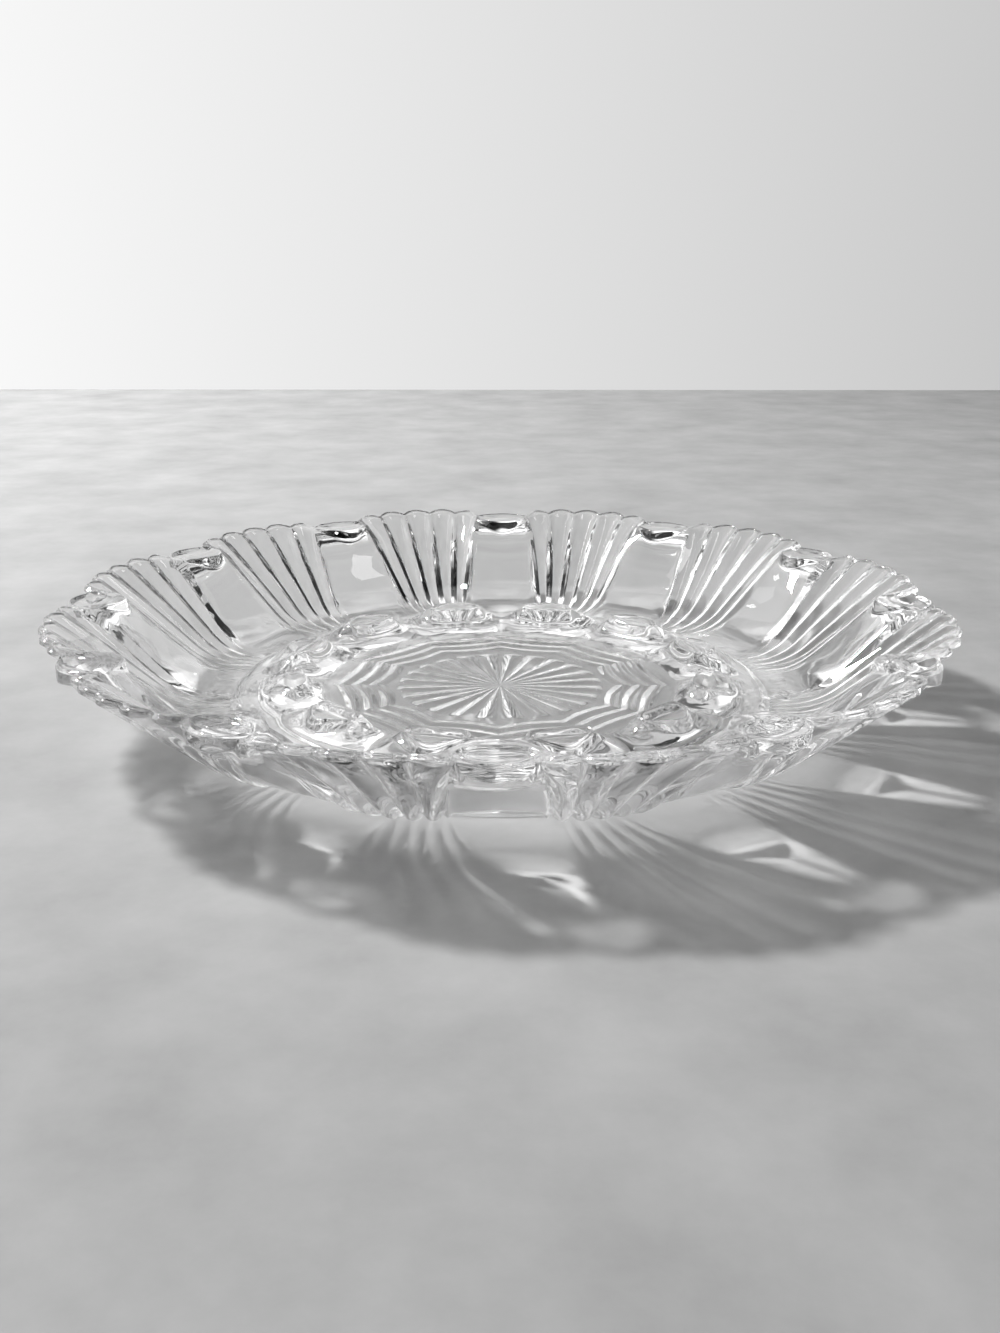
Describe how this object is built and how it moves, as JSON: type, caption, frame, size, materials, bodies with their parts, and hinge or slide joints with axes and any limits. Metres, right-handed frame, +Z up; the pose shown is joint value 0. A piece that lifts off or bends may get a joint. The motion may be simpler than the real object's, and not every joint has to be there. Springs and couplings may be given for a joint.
{
  "type": "relish tray",
  "caption": "Round clear pressed-glass relish tray: a ring of fluted wells with a scalloped rim, lens bosses and a star medallion in the middle.",
  "frame": {"origin": "middle of the face that the tray stands on", "axes": "+Z up out of the tray, along its axis; the front of the picture is at -Y, where a rim boss points"},
  "size_m": [0.25, 0.25, 0.035],
  "materials": {
    "clear_glass": "fire-polished"
  },
  "bodies": {
    "root": {"centre_medallion": "clear_glass", "inner_collar": "clear_glass", "foot_ring": "clear_glass", "well_01": "clear_glass", "well_02": "clear_glass", "well_03": "clear_glass", "well_04": "clear_glass", "well_05": "clear_glass", "well_06": "clear_glass", "well_07": "clear_glass", "well_08": "clear_glass", "well_09": "clear_glass", "well_10": "clear_glass", "well_11": "clear_glass", "well_12": "clear_glass", "inner_lens_01": "clear_glass", "inner_lens_02": "clear_glass", "inner_lens_03": "clear_glass", "inner_lens_04": "clear_glass", "inner_lens_05": "clear_glass", "inner_lens_06": "clear_glass", "inner_lens_07": "clear_glass", "inner_lens_08": "clear_glass", "inner_lens_09": "clear_glass", "inner_lens_10": "clear_glass", "inner_lens_11": "clear_glass", "inner_lens_12": "clear_glass", "rim_boss_01": "clear_glass", "rim_boss_02": "clear_glass", "rim_boss_03": "clear_glass", "rim_boss_04": "clear_glass", "rim_boss_05": "clear_glass", "rim_boss_06": "clear_glass", "rim_boss_07": "clear_glass", "rim_boss_08": "clear_glass", "rim_boss_09": "clear_glass", "rim_boss_10": "clear_glass", "rim_boss_11": "clear_glass", "rim_boss_12": "clear_glass"}
  },
  "joints": []
}
